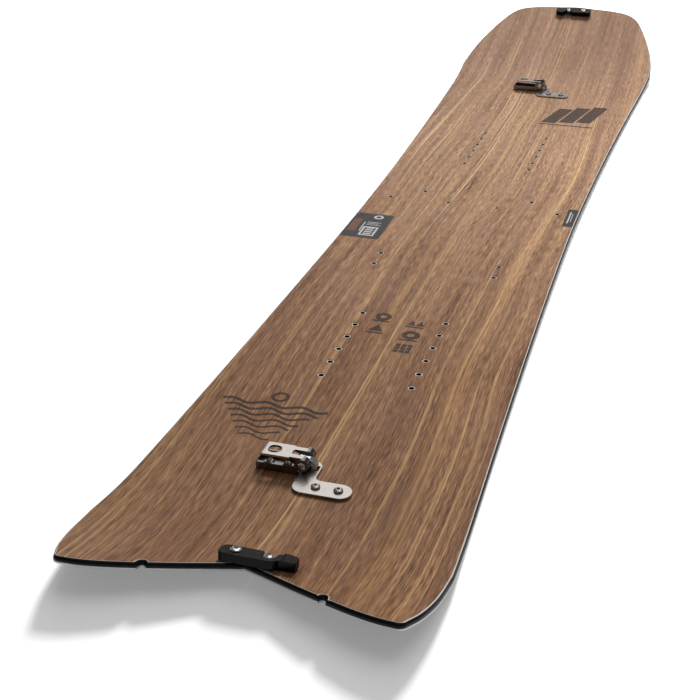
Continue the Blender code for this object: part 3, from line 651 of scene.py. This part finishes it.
def build_deck(tag, side):
    """Veneer sheet with its bevelled cut edge, and a round hole for each insert.

    The bevel is dark resin below and a pale laminate line above, widened as a painted highlight
    along the sides, more on the right half, and narrow round the ends. The seam edge has a
    smaller bevel, all in a pale colour that is partly a painted highlight."""
    rim = inset(LOOP, BEVEL_OUT, 0.02 * MM)
    face = inset(LOOP, BEVEL_IN, SEAM_BEVEL)
    middle, drop = [], []
    for i, (low, high) in enumerate(zip(rim, face)):
        along = (LOOP[(i + 1) % len(LOOP)] - LOOP[i - 1]).normalized()
        # the pale line widens as a painted highlight where the outline runs along the sides
        sideways = min(max((abs(along.y) - 0.55) / 0.35, 0.0), 1.0)
        line = LINE_END + (HIGHLIGHT_LINE_SIDE[side] - LINE_END) * sideways
        share = line / (BEVEL_IN - BEVEL_OUT)
        if i in (0, len(LOOP) - 1):
            middle.append(Vector((SEAM_HALF + 0.02 * MM, low.y)))
            drop.append(-SEAM_DROP)
        else:
            middle.append(high + (low - high) * share)
            drop.append(-SHEET_T * share)
    bm = bmesh.new()
    dark, pale = stack(bm, ((rim, -SHEET_T), (middle, drop), (face, 0.0)))
    for low_face, high_face in zip(dark, pale):
        low_face.material_index, high_face.material_index = 3, 1
    dark[0].material_index = pale[0].material_index = 2     # along the seam, pale as a painted highlight on the seam bevel
    holes = bmesh.new()
    for _, points in insert_groups():
        for x, y in points:
            ring = circle(x, y, COLLAR_R + GAP, 28)
            stack(holes, ((ring, -THROUGH), (ring, THROUGH)))
    for x, y, r in screw_holes(side):
        ring = circle(x, y, r, 20)
        stack(holes, ((ring, -THROUGH), (ring, THROUGH)))
    layers = [veneer, cut_edge_and_highlight, seam_cut_and_highlight, wall_black]
    bm = carve(bm, holes, materials=layers)
    piece(tag + "_deck", handed(lay(bm), side), layers, tag + "_half",
          [tag + "_topsheet"], sharp=10, weighted=False)


def sweep(rows, first, last, seam_end=None, shift=(0.0, 0.0)):
    """Band along part of the outline. Each row is (loop, z); seam_end adds a point at that
    y on the seam, before the first point or after the last one. shift moves the band's two
    ends along y, to leave a joint between neighbours."""
    bm = bmesh.new()
    rings = []
    for loop, z in rows:
        pts = [p.copy() for p in loop[first:last + 1]]
        pts[0].y += shift[0]
        pts[-1].y += shift[1]
        if seam_end is not None:
            if first == 0:
                pts = [Vector((loop[0].x, seam_end))] + pts
            else:
                pts = pts + [Vector((loop[-1].x, seam_end))]
        rings.append([bm.verts.new((p.x, p.y, z)) for p in pts])
    for a, b in zip(rings, rings[1:] + rings[:1]):
        for i in range(len(a) - 1):
            bm.faces.new((a[i], a[i + 1], b[i + 1], b[i]))
    bm.faces.new([ring[0] for ring in rings])
    bm.faces.new([ring[-1] for ring in reversed(rings)])
    return bm


def wall_rows():
    low = SOLE_LEVEL + EDGE_T + GAP
    top = -SHEET_T - GAP
    return ((inset(LOOP, 0.10 * MM, 0.0), low), (inset(LOOP, 0.0, 0.0), low + 0.15 * MM),
            (inset(LOOP, 0.0, 0.0), -2.9 * MM), (inset(LOOP, 0.12 * MM, 0.0), -2.45 * MM),
            (inset(LOOP, 0.40 * MM, 0.05 * MM), -2.05 * MM),
            (inset(LOOP, 1.15 * MM, 0.10 * MM), top),
            (inset(WIDE_LOOP, WALL_W), top), (inset(WIDE_LOOP, WALL_W), low))


def build_layers(tag, side):
    """Walls, spacers, steel edges and base sheet of one half."""
    body = tag + "_half"
    g = GAP / 2
    rows = wall_rows()
    parts = (("outer_wall", "outer_sidewall", FIRST_SIDE, LAST_SIDE, None, (g, -g)),
             ("tail_rim", "tail_spacer", 0, FIRST_SIDE, WALL_TAIL_Y - g, (0.0, -g)),
             ("nose_rim", "nose_spacer", LAST_SIDE, len(LOOP) - 1, WALL_NOSE_Y + g, (g, 0.0)))
    for name, node, first, last, seam_end, shift in parts:
        bm = sweep(rows, first, last, seam_end, shift)
        piece(tag + "_" + name, handed(lay(bm), side), wall_black, body,
              [tag + "_" + node], weighted=False)
    low, top = SOLE_LEVEL + EDGE_T + GAP, -SHEET_T - GAP
    a, b = SEAM_HALF, SEAM_HALF + WALL_W
    y0, y1 = WALL_TAIL_Y + g, WALL_NOSE_Y - g
    bm = bmesh.new()
    stack(bm, (([(a, y0), (b, y0), (b, y1), (a, y1)], low),
               ([(a, y0), (b, y0), (b, y1), (a, y1)], top - 0.2 * MM),
               ([(a + 0.1 * MM, y0), (b, y0), (b, y1), (a + 0.1 * MM, y1)], top)))
    piece(tag + "_seam_wall", handed(lay(bm), side), wall_black, body,
          [tag + "_seam_sidewall"], weighted=False)

    zero, high = SOLE_LEVEL, SOLE_LEVEL + EDGE_T
    clear = SEAM_HALF + EDGE_W + GAP
    rings = []
    for dist, z in ((0.18, 0.0), (0.0, 0.18), (0.0, EDGE_T / MM - 0.12), (0.12, EDGE_T / MM),
                    (EDGE_W / MM, EDGE_T / MM), (EDGE_W / MM, 0.0)):
        loop = inset(LOOP, dist * MM)
        start = Vector((clear, loop[0].y - (clear - loop[0].x) * TAIL_SLOPE))
        rings.append(([start] + loop[1:-1] + [Vector((clear, loop[-1].y))], zero + z * MM))
    bm = sweep(rings, 0, len(rings[0][0]) - 1)
    piece(tag + "_outer_edge", handed(lay(bm), side), edge_steel, body,
          [tag + "_outer_steel_edge"], weighted=False)

    a, b = SEAM_HALF, SEAM_HALF + EDGE_W
    y0, y1 = LOOP[0].y, LOOP[-1].y
    strip = [(a, y0), (b, y0 - (b - a) * TAIL_SLOPE), (b, y1), (a, y1)]
    inner = [(a + 0.12 * MM, y0), (b, y0 - (b - a) * TAIL_SLOPE), (b, y1), (a + 0.12 * MM, y1)]
    bm = bmesh.new()
    stack(bm, ((inner, zero), (strip, zero + 0.12 * MM), (strip, high)))
    piece(tag + "_seam_edge", handed(lay(bm), side), edge_steel, body,
          [tag + "_seam_steel_edge"], weighted=False)

    bm = bmesh.new()
    field = inset(LOOP, EDGE_W + GAP)
    stack(bm, ((field, zero), (field, zero + BASE_T)))
    piece(tag + "_base", handed(lay(bm), side), base_black, body,
          [tag + "_base_sheet"], sharp=10, weighted=False)


def build_inserts(tag, side):
    """Threaded collars that stand in the deck's holes, one piece for each group. The rim is
    bright, and the bore is painted black as the shade deep in the hole."""
    low, top, floor = -5.4, -0.25, -4.9
    shade_below, shade_above = (top - 0.3) * MM, (low + 0.1) * MM
    profile = [(0, low), (COLLAR_R / MM, low), (COLLAR_R / MM, top - 0.12),
               (COLLAR_R / MM - 0.1, top), (2.80, top), (2.42, top - 0.35)]
    h = top - 0.4
    while h > floor + 0.5:      # thread crests
        profile += [(2.12, h - 0.25), (2.42, h - 0.5)]
        h -= 0.5
    profile += [(2.1, floor), (0, floor)]
    for label, points in insert_groups():
        bm = bmesh.new()
        for x, y in points:
            collar = turned([(r * MM, z * MM) for r, z in profile], 32, "Z",
                            (x, y, deck_z(y)))
            for face in collar.faces:
                middle = face.calc_center_median()
                in_bore = (middle.xy - Vector((x, y))).length < BORE_R + 0.05 * MM
                deep = shade_above < middle.z - deck_z(y) < shade_below
                # bore faces deep in the hole take the black: painted shade
                face.material_index = int(in_bore and deep)
            mesh = bpy.data.meshes.new("collar")
            collar.to_mesh(mesh)
            collar.free()
            bm.from_mesh(mesh)
            bpy.data.meshes.remove(mesh)
        piece(f"{tag}_{label}_inserts", handed(bm, side), [insert_zinc, black_alloy_and_shade],
              tag + "_half", [f"{tag}_{label}_insert_rail"])


for tag, side in SIDES:
    build_deck(tag, side)
    build_layers(tag, side)
    build_inserts(tag, side)
    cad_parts[tag + "_wood_core"].data.materials[0] = core_wood


# ---------------------------------------------------------------------------
# Fasteners
# ---------------------------------------------------------------------------
def screw(head_r, head_h, shank_r, shank_l, socket):
    """Domed button head over a shank, with a hexagon socket (millimetres)."""
    dome = [(head_r * math.cos(a), 0.28 * head_h + 0.72 * head_h * math.sin(a))
            for a in (0.0, 0.35, 0.65, 0.9, 1.08)]
    profile = [(0, -shank_l), (shank_r - 0.3, -shank_l), (shank_r, -shank_l + 0.3),
               (shank_r, 0), (head_r - 0.12, 0), (head_r, 0.12)] + dome
    profile += [(socket * 1.32, head_h), (0, head_h)]
    bm = turned([(r * MM, h * MM) for r, h in profile], 36)
    hexagon = [(socket * 1.12 * math.cos(math.pi * i / 3) * MM,
                socket * 1.12 * math.sin(math.pi * i / 3) * MM) for i in range(6)]
    return carve(bm, prism(hexagon, 0.30 * head_h * MM, THROUGH))


# ---------------------------------------------------------------------------
# Seam clips
# ---------------------------------------------------------------------------
def cross_bore(x, z, r, sides):
    """Cutter for a bore along Y (millimetres)."""
    return turned(((0, -THROUGH), (r * MM, -THROUGH), (r * MM, THROUGH), (0, THROUGH)), sides,
                  "Y", (x * MM, 0, z * MM))


def build_clip(tag, y):
    """Lever clip: tray and lever on the left half, catch plate on the right half. Outlines
    are side views (x, z) or plans (x, y), in millimetres from the seam."""
    ground = Matrix.Translation((0, y, deck_z(y)))
    clip = tag + "_clip_"
    px, pz = PIVOT
    lx, lz = LINK

    ear = arc(px, pz, 5.2, -125, 150, 28)
    side_view = [(-43.5, 1.6), (-43.2, 0.8), (-42.6, 0.4), (-8.4, 0.4), (-8.4, 3.4)] + ear
    side_view += [(-10.8, 8.6), (-13.0, 6.6), (-41.5, 6.6), (-43.0, 6.0), (-43.5, 5.0)]
    bm = carve(extruded(side_view, -9.8, 9.8),
               (flat(rounded_box(-43.5, 6.0, -9.8, 9.8, 2.6), -1, 20), "INTERSECT"),
               flat(rounded_box(-41.9, 12, -8.0, 8.0, 1.6), 1.9, 20),
               cross_bore(px, pz, 1.9, 28),
               *(flat(circle(x, 0, 2.0), -2, 4.5) for x in BASE_SCREW_X))
    # the tray is stainless, painted dark as the shade and dark reflections in its sides
    piece(clip + "tray", soften(bm, 0.22 * MM), dark_steel_and_shade, "left_half",
          [clip + "base"], ground)

    cheek = arc(px, pz, 5.2, -120, 90, 26)
    side_view = cheek + [(-36.0, 14.2), (-38.2, 14.05), (-39.5, 13.5), (-40.2, 12.3),
                         (-39.6, 12.2), (-38.6, 12.4), (-14.6, 12.4)]
    side_view += arc(lx, lz, 3.3, 140, 245, 12)
    fork = [(-14.6, -3.3), (15, -3.3), (15, 3.3), (-14.6, 3.3), (-15.6, 2.0), (-15.6, -2.0)]
    hole = (arc(-31.2, -1.3, 4.0, 180, 270, 7) + arc(-29.6, 0, 5.3, -90, 90, 16)
            + arc(-31.2, 1.3, 4.0, 90, 180, 7))
    shoulders = [bar(-15.6, 15, min(s * 7.7, s * 12), max(s * 7.7, s * 12)) for s in (-1, 1)]
    bm = carve(extruded(side_view, -8.8, 8.8),
               (flat(rounded_box(-40.2, 12, -8.8, 8.8, 4.2, 10), -1, 20), "INTERSECT"),
               flat(fork, -5, 30), *(flat(shoulder, -5, 30) for shoulder in shoulders),
               flat(hole, 9.5, 30), cross_bore(px, pz, 1.9, 28), cross_bore(lx, lz, 1.3, 24))
    soften(bm, 0.28 * MM)
    for face in bm.faces:       # the knuckle is darker than the handle
        face.material_index = int(face.calc_center_median().x > -14.9 * MM)
    piece(clip + "handle", bm, [stainless, dark_steel_and_shade], tag + "_lever",
          [clip + "lever"], ground)

    hook = arc(lx, lz, 2.7, 75, 262, 18)
    hook += [(-6.6, 7.7), (-3.4, 6.9), (-0.4, 5.9), (1.2, 5.2), (1.9, 4.2), (1.9, 1.2),
             (2.3, 0.9), (3.9, 0.9), (4.3, 1.2), (4.45, 4.0), (4.4, 5.8), (4.1, 7.2),
             (3.4, 8.2), (1.8, 9.5), (-0.6, 10.9), (-2.6, 11.7), (-4.5, 12.0), (-6.4, 12.1)]
    bm = carve(extruded(hook, -2.9, 2.9), cross_bore(lx, lz, 1.35, 24))
    piece(clip + "claw", soften(bm, 0.3 * MM), polished, tag + "_draw_hook",
          [clip + "draw_hook"], ground)

    pin = [(0, -7.4), (0.8, -7.4), (1.0, -7.2), (1.0, 7.2), (0.8, 7.4), (0, 7.4)]
    bm = turned([(r * MM, h * MM) for r, h in pin], 28, "Y", (lx * MM, 0, lz * MM))
    piece(clip + "link", bm, polished, tag + "_lever", [clip + "link_pin"], ground)
    for s, label in ((-1, "tail_side"), (1, "nose_side")):
        head = [(0, 4.0), (1.6, 4.0), (1.6, 10.1), (2.75, 10.1), (2.9, 10.25), (2.9, 10.45),
                (2.6, 10.85), (2.0, 11.1), (1.2, 11.2), (0, 11.2)]
        bm = turned([(r * MM, s * h * MM) for r, h in head], 32, "Y", (px * MM, 0, pz * MM))
        piece(clip + "pivot_" + label, bm, polished, "left_half",
              [clip + "rivet_" + label], ground)
    for i, x in enumerate(BASE_SCREW_X):
        place = ground @ Matrix.Translation((x * MM, 0, 2.2 * MM))
        piece(f"{clip}floor_screw_{i + 1}", screw(3.2, 1.7, 1.6, 6.4, 1.2), dark_steel_and_shade,
              "left_half", [f"{clip}base_screw_{i + 1}"], place)

    leg = arc(30.0, -25.0, 9.5, -90, 90, 26)
    lobe = arc(0.0, 2.5, 7.2, 0, 180, 26)
    heel = arc(2.3, -25.0, 9.5, 180, 270, 14)
    throat = [(12.4, -15.5), (10.4, -15.3), (8.8, -14.6), (7.7, -13.3), (7.2, -11.4)]
    window = rounded_box(1.3, 5.8, -3.6, 3.6, 0.9, 4)
    bm = carve(flat(leg + throat + lobe + heel, 0.4, 2.4), flat(window, -5, 8),
               *(flat(circle(x, SCREW_Y, 2.4), -5, 8) for x in SCREW_X))
    piece(clip + "catch", soften(bm, 0.32 * MM), stainless, "right_half",
          [clip + "catch_plate"], ground)
    for i, x in enumerate(SCREW_X):
        place = ground @ Matrix.Translation((x * MM, SCREW_Y * MM, 2.7 * MM))
        piece(f"{clip}plate_screw_{i + 1}", screw(3.7, 2.2, 2.0, 7.4, 1.5), stainless,
              "right_half", [f"{clip}catch_screw_{i + 1}"], place)


for tag, y in CLIPS:
    build_clip(tag, y)


# ---------------------------------------------------------------------------
# End hooks
# ---------------------------------------------------------------------------
def build_end_hook(tag, y, pivot_x, turn):
    """Swivelling hook with its screw on one half and its stud on the other."""
    place = Matrix.Translation((pivot_x, y, deck_z(y)))
    place = place @ Matrix.Rotation(math.atan(deck_slope(y)), 4, "X")
    place = place @ Matrix.Rotation(turn, 4, "Z")
    near, far = ("left", "right") if tag == "tail" else ("right", "left")
    low, high = 1.3, 7.5

    plan = arc(-6.6, 1.6, 4.8, 90, 170, 9) + arc(-6.9, -2.8, 4.6, 190, 265, 9)
    plan += [(8.0, -8.1), (26.0, -7.75), (28.4, -7.2), (30.2, -5.9), (32.0, -4.4),
             (34.0, -4.2), (42.4, -4.4), (43.4, -4.0), (43.8, -3.0), (43.8, 4.4),
             (43.3, 5.4), (42.0, 6.2), (36.0, 8.4), (33.2, 8.5), (32.4, 8.0), (31.6, 5.9),
             (30.6, 5.3), (28.7, 5.0)]
    plan += arc(HOOK_REACH, 0.6, 4.7, 0, -180, 20)
    plan += [(19.1, 4.4), (18.7, 5.4), (17.6, 6.2), (15.0, 6.6)]
    groove = flat([(33.4, -6), (34.2, -6), (34.2, 10), (33.4, 10)], high - 0.5, high + 2)
    bm = carve(flat(plan, low, high), flat(circle(0, 0, 2.6), -5, 20), groove)
    piece(tag + "_hook_plate", soften(bm, 0.45 * MM, 28, 3), black_alloy_and_shade, tag + "_hook",
          [tag + "_hook"], place)

    up = Matrix.Translation((0, 0, (high + 0.3) * MM))
    piece(tag + "_hook_pivot", screw(4.0, 1.6, 2.1, high + 3.9, 1.5), polished,
          near + "_half", [tag + "_hook_pivot_screw"], place @ up)
    over = Matrix.Translation((HOOK_REACH * MM, 0, (high - 1.2) * MM))
    piece(tag + "_hook_button", screw(4.0, 2.8, 2.1, high + 2.4, 1.5), polished,
          far + "_half", [tag + "_hook_stud"], place @ over)
    for label, x, radius, top, half in (("pivot_washer", 0.0, 6.0, low - 0.3, near),
                                        ("stud_collar", HOOK_REACH, 3.7, high - 1.5, far)):
        ring = [(2.5, 0.4), (radius - 0.2, 0.4), (radius, 0.55), (radius, top - 0.2),
                (radius - 0.2, top), (2.5, top), (2.5, 0.4)]
        bm = turned([(r * MM, h * MM) for r, h in ring], 36, "Z")
        bmesh.ops.remove_doubles(bm, verts=bm.verts, dist=1e-7)
        piece(f"{tag}_{label}", bm, dark_steel_and_shade, half + "_half",
              [f"{tag}_hook_{label}"], place @ Matrix.Translation((x * MM, 0, 0)))


build_end_hook("tail", TAIL_HOOK_Y, TAIL_PIVOT_X, 0.0)
build_end_hook("nose", NOSE_HOOK_Y, NOSE_PIVOT_X, math.pi)


# ---------------------------------------------------------------------------
# Plain printed shapes and labels
# ---------------------------------------------------------------------------
def band_along(points, width):
    """Outline of a line of that width through points."""
    pts = [Vector(p) for p in points]
    left, right = [], []
    for i, p in enumerate(pts):
        d = (pts[min(i + 1, len(pts) - 1)] - pts[max(i - 1, 0)]).normalized()
        n = Vector((-d.y, d.x)) * (width / 2)
        left.append(p + n)
        right.append(p - n)
    return right + left[::-1]


def ring_outline(cx, cy, r, width):
    return band_along(arc(cx, cy, r, 0, 360, 48), width)


def printed(name, shapes, body, material, lift=0.02, thick=0.07):
    """Thin prints on the deck; shapes are plan outlines in millimetres."""
    bm = bmesh.new()
    for shape in shapes:
        loop = [(p[0] * MM, p[1] * MM) for p in shape]
        area = sum(a[0] * b[1] - b[0] * a[1] for a, b in zip(loop, loop[1:] + loop[:1]))
        loop = loop if area > 0 else loop[::-1]
        part = bmesh.new()
        stack(part, ((loop, lift * MM), (loop, (lift + thick) * MM)))
        lay(part)
        mesh = bpy.data.meshes.new("print")
        part.to_mesh(mesh)
        part.free()
        bm.from_mesh(mesh)
        bpy.data.meshes.remove(mesh)
    return piece(name, bm, material, body, weighted=False)


def wave(cx, cy, width, height, thick, waves):
    """Wavy line with that many whole waves in its width."""
    spots = [i / 40 for i in range(41)]
    return band_along([(cx + width * (t - 0.5),
                        cy + height * math.sin(2 * math.pi * waves * t)) for t in spots], thick)


def frame_outline(x0, x1, y0, y1, width):
    """Four bars that make a rectangular frame."""
    return [bar(x0, x1, y0, y0 + width), bar(x0, x1, y1 - width, y1),
            bar(x0, x0 + width, y0 + width, y1 - width),
            bar(x1 - width, x1, y0 + width, y1 - width)]


def edge_sheet(side, x_in, y0, y1, corner):
    """Outline of a label that follows the board's edge on its outer side."""
    outer = [(side * (half_width(y * MM) / MM - 2.35), y)
             for y in np.linspace(y0 + corner, y1 - corner, 8)]
    turn = -side * corner
    inner = [(x_in - turn * 0.3, y1), (x_in, y1 - corner), (x_in, y0 + corner),
             (x_in - turn * 0.3, y0)]
    return ([(outer[0][0] + turn, y0)] + outer + [(outer[-1][0] + turn, y1)] + inner)


def build_prints():
    """Plain motifs where the board carries its graphics: no lettering and no marks."""
    centre = -61.5
    waves = [wave(centre, -511 - 8.5 * i, 93 - 11 * i, 2.6, 3.6 - 0.3 * i, 3.0 - 0.35 * i)
             for i in range(7)]
    waves.append(ring_outline(centre, -497, 6.5, 3.0))
    printed("left_print_waves", waves, "left_half", ink)

    bars = [[(22 + 23 * i, 318 + 6 * i), (41 + 23 * i, 318 + 6 * i),
             (56 + 23 * i, 388 + 10 * i), (37 + 23 * i, 388 + 10 * i)] for i in range(3)]
    bars.append([(20, 309), (92, 309), (95, 313), (21, 313)])
    printed("right_print_bars", bars, "right_half", ink)
    printed("left_print_dash", [bar(-17.0, -14.6, 28, 75)], "left_half", faint_ink)

    left = [ring_outline(-19, -326, 5.6, 4.4), bar(-27, -11, -336.5, -334),
            [(-26, -356), (-12, -356), (-19, -343)], bar(-27, -11, -361, -358.5)]
    right = [[(7, -336), (14.6, -336), (10.8, -326)], [(15, -336), (22.6, -336), (18.8, -326)],
             bar(6, 23, -340.5, -338), ring_outline(15.5, -356, 6.0, 5.0),
             bar(7, 24, -367.5, -365)]
    right += [bar(7 + 5.6 * i, 11.6 + 5.6 * i, -391 + 5.8 * j, -386.4 + 5.8 * j)
              for i in range(3) for j in range(3)]
    printed("left_print_icons", left, "left_half", ink)
    printed("right_print_icons", right, "right_half", ink)

    printed("left_label", [edge_sheet(-1, -76.0, -147.5, -77.5, 3.0)], "left_half",
            label_dark, 0.02, 0.05)
    printed("left_label_window", [bar(-117.0, -107.5, -131.0, -95.0)], "left_half",
            label_brown, 0.08, 0.03)
    marks = frame_outline(-101.0, -84.0, -140.5, -115.5, 2.2)
    marks += [bar(-97.0, -88.0, -136.5 + 5.4 * i, -133.6 + 5.4 * i) for i in range(4)]
    marks += [bar(-103.5, -102.3, -129.0, -103.0), bar(-100.0, -83.0, -110.5, -109.3),
              bar(-100.0, -87.0, -106.8, -105.6), bar(-100.0, -85.0, -103.1, -101.9)]
    marks.append(ring_outline(-92.0, -86.5, 4.2, 2.6))
    printed("left_label_marks", marks, "left_half", label_pale, 0.08, 0.03)

    printed("right_tag", [edge_sheet(1, 107.8, -53.5, 0.5, 3.0)], "right_half",
            label_dark, 0.02, 0.05)
    strokes = [bar(111.2, 112.8, -43.0, -8.0), bar(114.4, 115.2, -38.0, -14.0)]
    printed("right_tag_marks", strokes, "right_half", label_pale, 0.08, 0.03)


build_prints()


# ---------------------------------------------------------------------------
# Floor, light and camera
# ---------------------------------------------------------------------------
WORLD_LIGHT = 0.15
FLOOR_GLOW = 0.24           # lifts the floor to white where the key lamp falls on it
CAMERA_PLACE = (0.2754, -1.3897, 0.5502)
CAMERA_FORWARD = Vector((-0.26110, 0.84677, -0.46346))
CAMERA_RIGHT = Vector((0.95588, 0.29374, -0.00182))
CAMERA_LENS = 66.465
LIT_POINT = Vector((0.0, -0.60, 0.0))
# name, watts, size, distance, azimuth from +Y towards +X, elevation, seen in reflections
LIGHTS = (("key", 330.0, 0.95, 4.6, -3.0, 34.0, False),
          ("softbox", 50.0, 4.0, 5.5, -12.0, 36.0, True),
          ("overhead", 32.0, 3.0, 3.2, 40.0, 74.0, True))


def build_stage():
    """Pale floor, lamps and camera."""
    bm = bmesh.new()
    bmesh.ops.create_grid(bm, x_segments=1, y_segments=1, size=14.0)
    mesh = bpy.data.meshes.new("floor")
    bm.to_mesh(mesh)
    bm.free()
    g = Graph("floor_paint")
    fine = g.noise(g.stretched((3, 3, 3)), 2.0, 0.5)
    mesh.materials.append(g.finish(g.mix(fine, (0.70, 0.70, 0.70), (0.72, 0.72, 0.72)), 0.9,
                                   Emission_Color=(1.0, 1.0, 1.0, 1.0),
                                   Emission_Strength=FLOOR_GLOW, Specular_IOR_Level=0.0))
    floor = bpy.data.objects.new("floor", mesh)
    floor.location.z = -0.0004
    bpy.context.scene.collection.objects.link(floor)

    world = bpy.data.worlds.new("studio")
    bpy.context.scene.world = world
    world.use_nodes = True
    background = world.node_tree.nodes["Background"]
    background.inputs[0].default_value = (1.0, 1.0, 1.0, 1.0)
    background.inputs[1].default_value = WORLD_LIGHT

    for name, power, size, far, azimuth, elevation, mirrored in LIGHTS:
        data = bpy.data.lights.new(name, "AREA")
        data.shape = "DISK"
        data.energy, data.size = power, size
        lamp = bpy.data.objects.new(name, data)
        lamp.visible_glossy = mirrored
        a, e = math.radians(azimuth), math.radians(elevation)
        back = Vector((math.sin(a) * math.cos(e), math.cos(a) * math.cos(e), math.sin(e)))
        lamp.location = LIT_POINT + back * far
        lamp.rotation_euler = back.to_track_quat("Z", "Y").to_euler()
        bpy.context.scene.collection.objects.link(lamp)

    data = bpy.data.cameras.new("camera")
    data.lens, data.sensor_width, data.sensor_fit = CAMERA_LENS, 36.0, "HORIZONTAL"
    data.clip_start, data.clip_end = 0.05, 40.0
    camera = bpy.data.objects.new("camera", data)
    forward, right = CAMERA_FORWARD.normalized(), CAMERA_RIGHT.normalized()
    up = right.cross(forward)
    turn = Matrix((right, up, -forward)).transposed()
    camera.matrix_world = Matrix.Translation(CAMERA_PLACE) @ turn.to_4x4()
    bpy.context.scene.collection.objects.link(camera)
    bpy.context.scene.camera = camera
    bpy.context.scene.view_settings.view_transform = "Standard"


build_stage()

bpy.context.view_layer.update()
